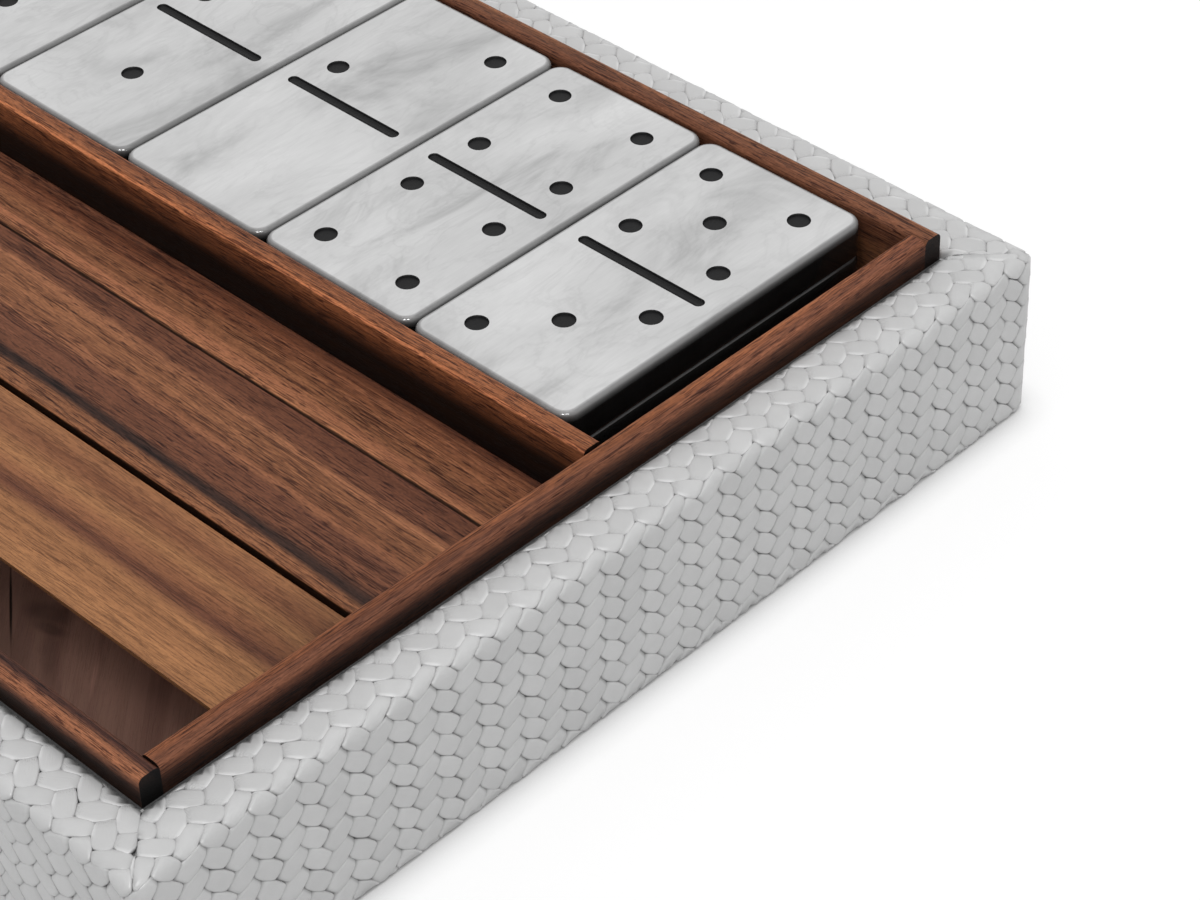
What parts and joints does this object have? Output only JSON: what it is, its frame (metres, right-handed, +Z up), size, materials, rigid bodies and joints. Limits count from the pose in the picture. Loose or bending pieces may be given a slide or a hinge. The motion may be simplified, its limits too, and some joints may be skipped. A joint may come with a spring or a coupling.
{
  "type": "domino storage box",
  "caption": "Low rectangular case wrapped in pale braided leather, with a walnut liner that holds stacked black-backed domino tiles in one bay and wedge-shaped tile racks in the other.",
  "frame": {"origin": "centre of the underside", "axes": "+X along the row of tiles, +Y from the rack bay to the tile bay, +Z up"},
  "size_m": [0.2344, 0.1526, 0.0293],
  "materials": {
    "leather": "matte, braided in flat straps",
    "felt": "brushed felt",
    "core_wood": "raw",
    "walnut": "oiled, satin",
    "rack_walnut": "oiled, satin",
    "tile": "polished, marbled face on a black back"
  },
  "bodies": {
    "box": {"leather_cover": "leather", "felt_pad": "felt", "base_board": "core_wood", "core_back": "core_wood", "core_front": "core_wood", "core_left": "core_wood", "core_right": "core_wood", "floor_panel": "walnut", "rail_back": "walnut", "rail_front": "walnut", "rail_left": "walnut", "rail_right": "walnut", "divider": "walnut"},
    "rack_back": {"rack_back": "rack_walnut"},
    "rack_middle": {"rack_middle": "rack_walnut"},
    "rack_front": {"rack_front": "rack_walnut"},
    "tile_5_3": {"tile_5_3": "tile"},
    "tile_4_4": {"tile_4_4": "tile"},
    "tile_2_0": {"tile_2_0": "tile"},
    "tile_3_1": {"tile_3_1": "tile"},
    "tile_6_1": {"tile_6_1": "tile"},
    "tile_5_5": {"tile_5_5": "tile"},
    "tile_6_4": {"tile_6_4": "tile"},
    "tile_0_0": {"tile_0_0": "tile"},
    "tile_6_2": {"tile_6_2": "tile"},
    "tile_5_1": {"tile_5_1": "tile"},
    "tile_3_3": {"tile_3_3": "tile"},
    "tile_4_2": {"tile_4_2": "tile"},
    "tile_6_0": {"tile_6_0": "tile"},
    "tile_1_1": {"tile_1_1": "tile"},
    "tile_4_1": {"tile_4_1": "tile"},
    "tile_3_0": {"tile_3_0": "tile"},
    "tile_6_6": {"tile_6_6": "tile"},
    "tile_2_2": {"tile_2_2": "tile"},
    "tile_5_0": {"tile_5_0": "tile"},
    "tile_4_3": {"tile_4_3": "tile"},
    "tile_2_1": {"tile_2_1": "tile"},
    "tile_6_5": {"tile_6_5": "tile"},
    "tile_1_0": {"tile_1_0": "tile"},
    "tile_5_4": {"tile_5_4": "tile"},
    "tile_4_0": {"tile_4_0": "tile"},
    "tile_3_2": {"tile_3_2": "tile"},
    "tile_6_3": {"tile_6_3": "tile"},
    "tile_5_2": {"tile_5_2": "tile"}
  },
  "joints": [
    {"name": "rack_back_lift", "type": "slide", "parent": "box", "child": "rack_back", "axis": [0, 0, 1], "range_m": [0, 0.03]},
    {"name": "rack_middle_lift", "type": "slide", "parent": "rack_back", "child": "rack_middle", "axis": [0, 0, 1], "range_m": [0, 0.03]},
    {"name": "rack_front_lift", "type": "slide", "parent": "box", "child": "rack_front", "axis": [0, 0, 1], "range_m": [0, 0.03]},
    {"name": "tile_6_5_lift", "type": "slide", "parent": "box", "child": "tile_6_5", "axis": [0, 0, 1], "range_m": [0, 0.03]},
    {"name": "tile_4_1_lift", "type": "slide", "parent": "tile_6_5", "child": "tile_4_1", "axis": [0, 0, 1], "range_m": [0, 0.03]},
    {"name": "tile_0_0_lift", "type": "slide", "parent": "tile_4_1", "child": "tile_0_0", "axis": [0, 0, 1], "range_m": [0, 0.03]},
    {"name": "tile_5_3_lift", "type": "slide", "parent": "tile_0_0", "child": "tile_5_3", "axis": [0, 0, 1], "range_m": [0, 0.03]},
    {"name": "tile_1_0_lift", "type": "slide", "parent": "box", "child": "tile_1_0", "axis": [0, 0, 1], "range_m": [0, 0.03]},
    {"name": "tile_3_0_lift", "type": "slide", "parent": "tile_1_0", "child": "tile_3_0", "axis": [0, 0, 1], "range_m": [0, 0.03]},
    {"name": "tile_6_2_lift", "type": "slide", "parent": "tile_3_0", "child": "tile_6_2", "axis": [0, 0, 1], "range_m": [0, 0.03]},
    {"name": "tile_4_4_lift", "type": "slide", "parent": "tile_6_2", "child": "tile_4_4", "axis": [0, 0, 1], "range_m": [0, 0.03]},
    {"name": "tile_5_4_lift", "type": "slide", "parent": "box", "child": "tile_5_4", "axis": [0, 0, 1], "range_m": [0, 0.03]},
    {"name": "tile_6_6_lift", "type": "slide", "parent": "tile_5_4", "child": "tile_6_6", "axis": [0, 0, 1], "range_m": [0, 0.03]},
    {"name": "tile_5_1_lift", "type": "slide", "parent": "tile_6_6", "child": "tile_5_1", "axis": [0, 0, 1], "range_m": [0, 0.03]},
    {"name": "tile_2_0_lift", "type": "slide", "parent": "tile_5_1", "child": "tile_2_0", "axis": [0, 0, 1], "range_m": [0, 0.03]},
    {"name": "tile_4_0_lift", "type": "slide", "parent": "box", "child": "tile_4_0", "axis": [0, 0, 1], "range_m": [0, 0.03]},
    {"name": "tile_2_2_lift", "type": "slide", "parent": "tile_4_0", "child": "tile_2_2", "axis": [0, 0, 1], "range_m": [0, 0.03]},
    {"name": "tile_3_3_lift", "type": "slide", "parent": "tile_2_2", "child": "tile_3_3", "axis": [0, 0, 1], "range_m": [0, 0.03]},
    {"name": "tile_3_1_lift", "type": "slide", "parent": "tile_3_3", "child": "tile_3_1", "axis": [0, 0, 1], "range_m": [0, 0.03]},
    {"name": "tile_3_2_lift", "type": "slide", "parent": "box", "child": "tile_3_2", "axis": [0, 0, 1], "range_m": [0, 0.03]},
    {"name": "tile_5_0_lift", "type": "slide", "parent": "tile_3_2", "child": "tile_5_0", "axis": [0, 0, 1], "range_m": [0, 0.03]},
    {"name": "tile_4_2_lift", "type": "slide", "parent": "tile_5_0", "child": "tile_4_2", "axis": [0, 0, 1], "range_m": [0, 0.03]},
    {"name": "tile_6_1_lift", "type": "slide", "parent": "tile_4_2", "child": "tile_6_1", "axis": [0, 0, 1], "range_m": [0, 0.03]},
    {"name": "tile_6_3_lift", "type": "slide", "parent": "box", "child": "tile_6_3", "axis": [0, 0, 1], "range_m": [0, 0.03]},
    {"name": "tile_4_3_lift", "type": "slide", "parent": "tile_6_3", "child": "tile_4_3", "axis": [0, 0, 1], "range_m": [0, 0.03]},
    {"name": "tile_6_0_lift", "type": "slide", "parent": "tile_4_3", "child": "tile_6_0", "axis": [0, 0, 1], "range_m": [0, 0.03]},
    {"name": "tile_5_5_lift", "type": "slide", "parent": "tile_6_0", "child": "tile_5_5", "axis": [0, 0, 1], "range_m": [0, 0.03]},
    {"name": "tile_5_2_lift", "type": "slide", "parent": "box", "child": "tile_5_2", "axis": [0, 0, 1], "range_m": [0, 0.03]},
    {"name": "tile_2_1_lift", "type": "slide", "parent": "tile_5_2", "child": "tile_2_1", "axis": [0, 0, 1], "range_m": [0, 0.03]},
    {"name": "tile_1_1_lift", "type": "slide", "parent": "tile_2_1", "child": "tile_1_1", "axis": [0, 0, 1], "range_m": [0, 0.03]},
    {"name": "tile_6_4_lift", "type": "slide", "parent": "tile_1_1", "child": "tile_6_4", "axis": [0, 0, 1], "range_m": [0, 0.03]}
  ]
}
